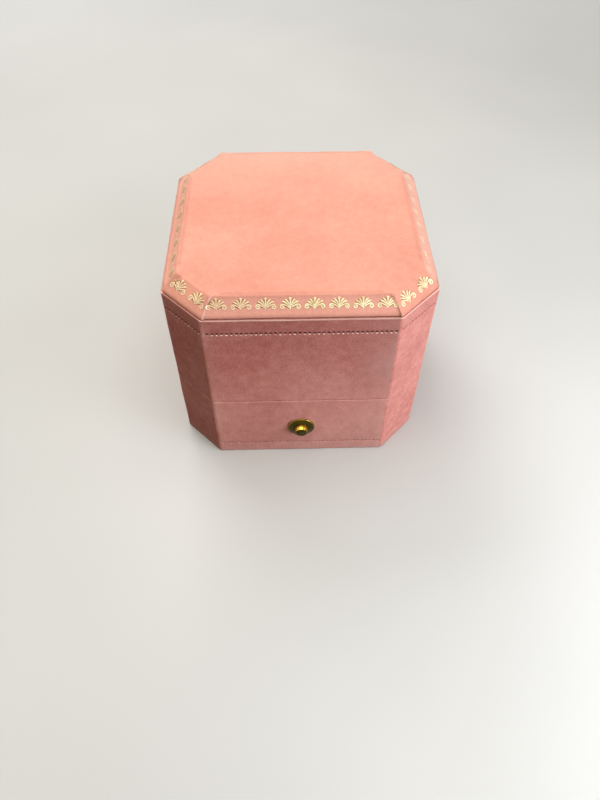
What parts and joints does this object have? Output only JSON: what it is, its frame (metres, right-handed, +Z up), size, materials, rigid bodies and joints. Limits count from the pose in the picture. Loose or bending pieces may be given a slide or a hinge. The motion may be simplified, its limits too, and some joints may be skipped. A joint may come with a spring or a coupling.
{
  "type": "jewelry box",
  "caption": "Octagonal suede-covered ring box with a tall hinged lid, a padded top with a gold palmette border, and a brass push button that frees the latch.",
  "frame": {"origin": "centre of the flat underside", "axes": "+Z up, -Y towards the front with the push button, +X to the right seen from the front"},
  "size_m": [0.06, 0.0641, 0.0524],
  "materials": {
    "suede": "napped suede",
    "board": "plain board",
    "felt": "felt",
    "velvet": "short velvet",
    "satin": "satin",
    "brass": "polished, aged",
    "spring_steel": "bright drawn"
  },
  "bodies": {
    "base": {"base_frame": "board", "base_floor": "board", "base_wrap": "suede", "base_underlay": "felt", "base_collar": "velvet", "insert_risers": "board", "insert_board": "velvet", "ring_roll_front": "velvet", "ring_roll_rear": "velvet", "button_bushing": "brass", "bushing_washer": "brass", "latch_bracket": "brass", "latch_pin": "spring_steel", "latch_spring": "spring_steel", "bracket_screws": "brass", "spring_screw": "brass", "hinge_lower_leaf": "brass", "hinge_lower_rivets": "brass", "hinge_pin": "brass", "hinge_spring": "spring_steel"},
    "button": {"push_button": "brass"},
    "latch": {"latch_lever": "brass"},
    "lid": {"lid_frame": "board", "lid_top_board": "board", "lid_wrap": "suede", "lid_top_pad": "suede", "lid_side_lining": "velvet", "lid_satin_pad": "satin", "lid_keeper": "brass", "keeper_screws": "brass", "hinge_upper_leaf": "brass", "hinge_upper_rivets": "brass"}
  },
  "joints": [
    {"name": "lid_hinge", "type": "hinge", "parent": "base", "child": "lid", "pos_m": [0, 0.0305, 0.0211], "axis": [-1, 0, 0], "range_deg": [0, 100], "deforming": ["hinge_spring"]},
    {"name": "button_press", "type": "slide", "parent": "base", "child": "button", "axis": [0, 1, 0], "range_m": [0, 0.0009], "stiffness_N_per_m": 800},
    {"name": "latch_pivot", "type": "hinge", "parent": "base", "child": "latch", "pos_m": [0, -0.02395, 0.005], "axis": [-1, 0, 0], "range_deg": [0, 9.4], "deforming": ["latch_spring"]}
  ],
  "couplings": [
    {"joint": "latch_pivot", "follows": "button_press", "rad_per_m": 181.82}
  ]
}
